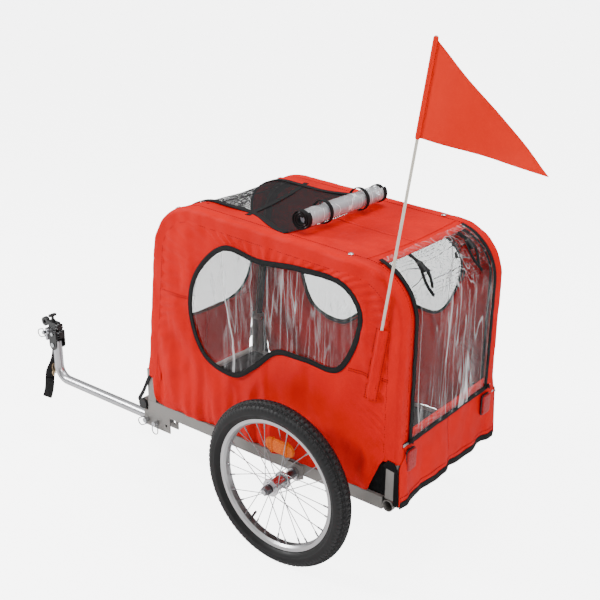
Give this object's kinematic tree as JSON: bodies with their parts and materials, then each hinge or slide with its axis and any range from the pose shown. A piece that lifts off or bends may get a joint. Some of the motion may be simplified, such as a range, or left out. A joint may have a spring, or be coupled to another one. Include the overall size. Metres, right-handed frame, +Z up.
{
  "type": "bicycle trailer",
  "caption": "Bicycle trailer with a soft pet cabin on a tube frame, spoked wheels, folding side hoops, mesh door, rear rain flap, tow arm with pivoting hitch and a safety flag.",
  "frame": {"origin": "On the ground, under the middle of the whole trailer's length and width, the centre of the bottom of its bounding box.", "axes": "+Z up, -Y forwards to the tow hitch, +X to the trailer's left side, where the tow arm and the flag are."},
  "size_m": [0.656, 1.472, 1.1904],
  "materials": {
    "frame_grey": "powder coated, satin",
    "zinc": "bright zinc",
    "dark_zinc": "dark zinc",
    "black_plastic": "satin moulded",
    "black_board": "coated board",
    "silver_tube": "polished, drawn",
    "black_steel": "semi-gloss paint",
    "black_webbing": "woven tape",
    "brass_hook": "dull plated",
    "red_cloth": "coated polyester weave",
    "clear_pvc": "soft clear film, glossy",
    "black_mesh": "open hexagon mesh",
    "red_reflector": "prismatic reflector",
    "white_rod": "fibreglass",
    "flag_cloth": "thin coated polyester",
    "tyre_rubber": "moulded tread",
    "tube_rubber": "smooth",
    "alloy_rim": "polished sidewall",
    "spoke_steel": "drawn wire",
    "hub_chrome": "polished",
    "bearing_steel": "ground",
    "amber_reflector": "prismatic reflector"
  },
  "bodies": {
    "chassis": {"side_rails": "frame_grey", "cross_tubes": "frame_grey", "rear_cross_tube": "frame_grey", "tube_caps": "black_plastic", "axle_plates": "frame_grey", "axle_bolts": "zinc", "axle_nuts": "dark_zinc", "hoop_posts": "frame_grey", "post_rivets": "zinc", "floor_board": "black_board", "tow_bracket": "frame_grey", "tow_arm": "silver_tube", "safety_strap": "black_webbing", "strap_hook": "brass_hook", "side_skirts": "red_cloth", "canopy": "red_cloth", "rear_panel": "red_cloth", "rear_mesh": "black_mesh", "rear_reflectors": "red_reflector", "rain_cover_roll": "clear_pvc", "roll_straps": "black_webbing"},
    "left_wheel": {"tyre_left": "tyre_rubber", "inner_tube_left": "tube_rubber", "rim_left": "alloy_rim", "spokes_left": "spoke_steel", "hub_left": "hub_chrome", "bearings_left": "bearing_steel", "spoke_reflector_left": "amber_reflector"},
    "right_wheel": {"tyre_right": "tyre_rubber", "inner_tube_right": "tube_rubber", "rim_right": "alloy_rim", "spokes_right": "spoke_steel", "hub_right": "hub_chrome", "bearings_right": "bearing_steel", "spoke_reflector_right": "amber_reflector"},
    "left_side": {"side_hoop_left": "frame_grey", "side_panel_left": "red_cloth", "side_window_left": "clear_pvc", "window_binding_left": "black_webbing"},
    "right_side": {"side_hoop_right": "frame_grey", "side_panel_right": "red_cloth", "side_window_right": "clear_pvc", "window_binding_right": "black_webbing"},
    "front_lock_pin": {"lock_pin_front": "zinc"},
    "rear_lock_pin": {"lock_pin_rear": "zinc"},
    "front_pin_ring": {"lock_ring_front": "zinc"},
    "rear_pin_ring": {"lock_ring_rear": "zinc"},
    "knuckle": {"hitch_knuckle": "black_steel", "hitch_rivets": "zinc", "hitch_tongue": "zinc"},
    "coupling_pin": {"hitch_pin": "zinc"},
    "coupling_ring": {"hitch_ring": "zinc"},
    "clamp": {"hitch_clamp": "black_steel"},
    "kingbolt": {"clamp_kingbolt": "black_steel"},
    "clamp_hand_knob": {"clamp_knob": "black_plastic"},
    "knuckle_hand_knob": {"knuckle_knob": "black_plastic"},
    "rear_rain_flap": {"rear_flap": "clear_pvc"},
    "mesh_door": {"front_door": "black_mesh"},
    "flag_rod": {"flag_pole": "white_rod"},
    "pennant": {"flag": "flag_cloth"}
  },
  "joints": [
    {"name": "left_wheel_spin", "type": "hinge", "parent": "chassis", "child": "left_wheel", "pos_m": [0.281, 0.199, 0.2], "axis": [1, 0, 0], "continuous": true},
    {"name": "right_wheel_spin", "type": "hinge", "parent": "chassis", "child": "right_wheel", "pos_m": [-0.281, 0.199, 0.2], "axis": [1, 0, 0], "continuous": true},
    {"name": "left_side_fold", "type": "hinge", "parent": "chassis", "child": "left_side", "pos_m": [0.2, 0.453, 0.3], "axis": [0, -1, 0], "range_deg": [0, 90], "deforming": ["canopy", "rear_panel", "rear_mesh", "rear_flap", "front_door", "rain_cover_roll", "roll_straps", "rear_reflectors", "side_panel_left", "side_panel_right", "side_window_left", "side_window_right", "window_binding_left", "window_binding_right", "side_skirts"]},
    {"name": "right_side_fold", "type": "hinge", "parent": "chassis", "child": "right_side", "pos_m": [-0.2, 0.453, 0.33], "axis": [0, 1, 0], "range_deg": [0, 90], "deforming": ["canopy", "rear_panel", "rear_mesh", "rear_flap", "front_door", "rain_cover_roll", "roll_straps", "rear_reflectors", "side_panel_left", "side_panel_right", "side_window_left", "side_window_right", "window_binding_left", "window_binding_right", "side_skirts"]},
    {"name": "front_pin_pull", "type": "slide", "parent": "chassis", "child": "front_lock_pin", "axis": [1, 0, 0], "range_m": [0, 0.06]},
    {"name": "rear_pin_pull", "type": "slide", "parent": "chassis", "child": "rear_lock_pin", "axis": [1, 0, 0], "range_m": [0, 0.06]},
    {"name": "front_ring_swing", "type": "hinge", "parent": "front_lock_pin", "child": "front_pin_ring", "pos_m": [0.2207, -0.288, 0.17], "axis": [0, 0.5, -0.866], "range_deg": [-120, 0]},
    {"name": "rear_ring_swing", "type": "hinge", "parent": "rear_lock_pin", "child": "rear_pin_ring", "pos_m": [0.2207, -0.255, 0.17], "axis": [0, 1, 0], "range_deg": [-120, 0]},
    {"name": "hitch_pitch", "type": "hinge", "parent": "chassis", "child": "knuckle", "pos_m": [0.196, -0.66, 0.272], "axis": [1, 0, 0], "range_deg": [-25, 25]},
    {"name": "hitch_yaw", "type": "hinge", "parent": "knuckle", "child": "clamp", "pos_m": [0.196, -0.672, 0.315], "axis": [0, 0, 1], "range_deg": [-30, 30]},
    {"name": "kingbolt_turn", "type": "hinge", "parent": "knuckle", "child": "kingbolt", "pos_m": [0.196, -0.672, 0.315], "axis": [0, 0, 1], "continuous": true},
    {"name": "clamp_knob_turn", "type": "hinge", "parent": "clamp", "child": "clamp_hand_knob", "pos_m": [0.196, -0.6515, 0.325], "axis": [0, 1, 0], "continuous": true},
    {"name": "knuckle_knob_turn", "type": "hinge", "parent": "knuckle", "child": "knuckle_hand_knob", "pos_m": [0.196, -0.6475, 0.304], "axis": [0, 1, 0], "continuous": true},
    {"name": "coupling_pin_pull", "type": "slide", "parent": "knuckle", "child": "coupling_pin", "axis": [1, 0, 0], "range_m": [0, 0.035]},
    {"name": "coupling_ring_swing", "type": "hinge", "parent": "coupling_pin", "child": "coupling_ring", "pos_m": [0.217, -0.688, 0.304], "axis": [0, 0.342, -0.9397], "range_deg": [-90, 0]},
    {"name": "rear_flap_lift", "type": "hinge", "parent": "chassis", "child": "rear_rain_flap", "pos_m": [0, 0.37, 0.74016], "axis": [-1, 0, 0], "range_deg": [-100, 0]},
    {"name": "mesh_door_lift", "type": "hinge", "parent": "chassis", "child": "mesh_door", "pos_m": [0, 0.138, 0.74979], "axis": [1, 0, 0], "range_deg": [-65, 0]},
    {"name": "flag_rod_pull", "type": "slide", "parent": "chassis", "child": "flag_rod", "axis": [0, 0.1444, 0.9895], "range_m": [0, 0.17]},
    {"name": "pennant_turn", "type": "hinge", "parent": "flag_rod", "child": "pennant", "pos_m": [0.2175, 0.50008, 1.182], "axis": [0, 0.1444, 0.9895], "continuous": true}
  ]
}
